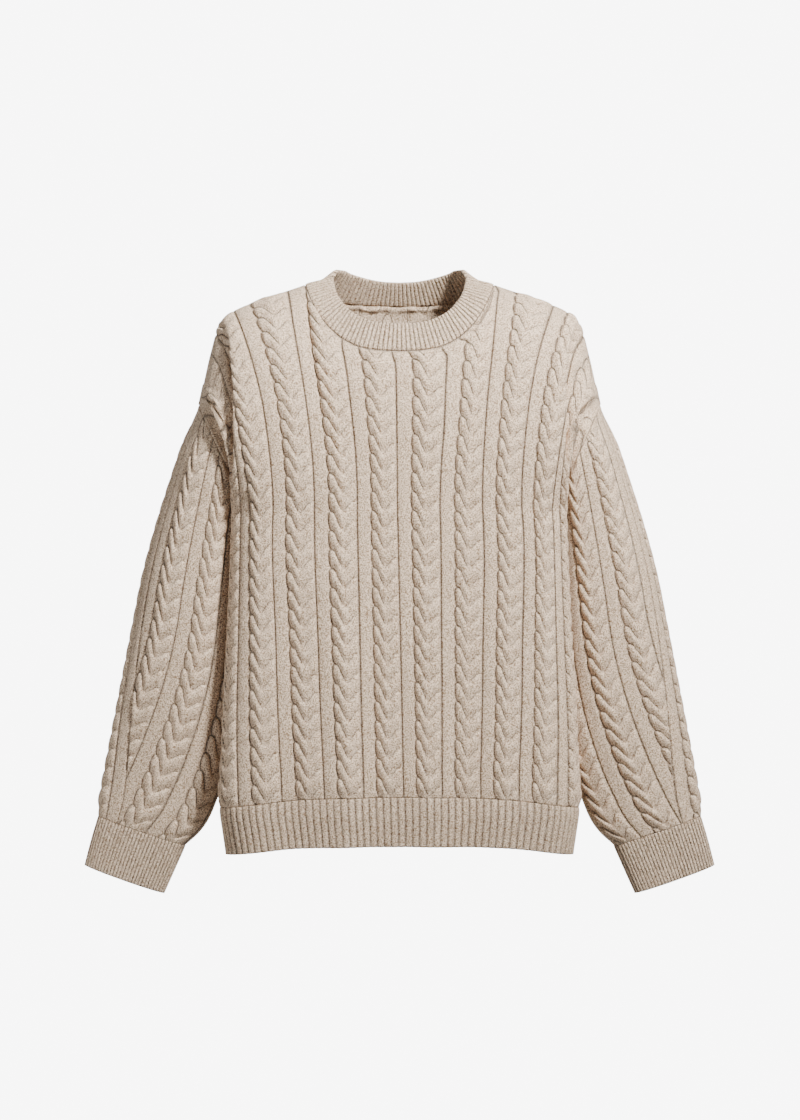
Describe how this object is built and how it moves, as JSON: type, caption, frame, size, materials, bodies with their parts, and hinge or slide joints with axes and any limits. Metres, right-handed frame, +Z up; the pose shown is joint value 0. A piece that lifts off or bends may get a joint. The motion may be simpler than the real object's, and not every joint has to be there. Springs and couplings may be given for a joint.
{
  "type": "cable knit sweater",
  "caption": "Crew-neck pullover in chunky cable knit with drop shoulders, full sleeves and ribbed neckband, hem and cuffs.",
  "frame": {"origin": "midway between the neck's two shoulder points, where the wearer's shoulders carry the garment", "axes": "+X to the wearer's left, +Y to the back, +Z up"},
  "size_m": [0.6932, 0.1978, 0.6858],
  "materials": {
    "cable_knit": "matt",
    "rib_knit": "matt"
  },
  "bodies": {
    "root": {"front_panel": "cable_knit", "back_panel": "cable_knit", "sleeve_left": "cable_knit", "sleeve_right": "cable_knit", "neckband": "rib_knit", "hem_rib_front": "rib_knit", "hem_rib_back": "rib_knit", "cuff_left": "rib_knit", "cuff_right": "rib_knit"}
  },
  "joints": []
}
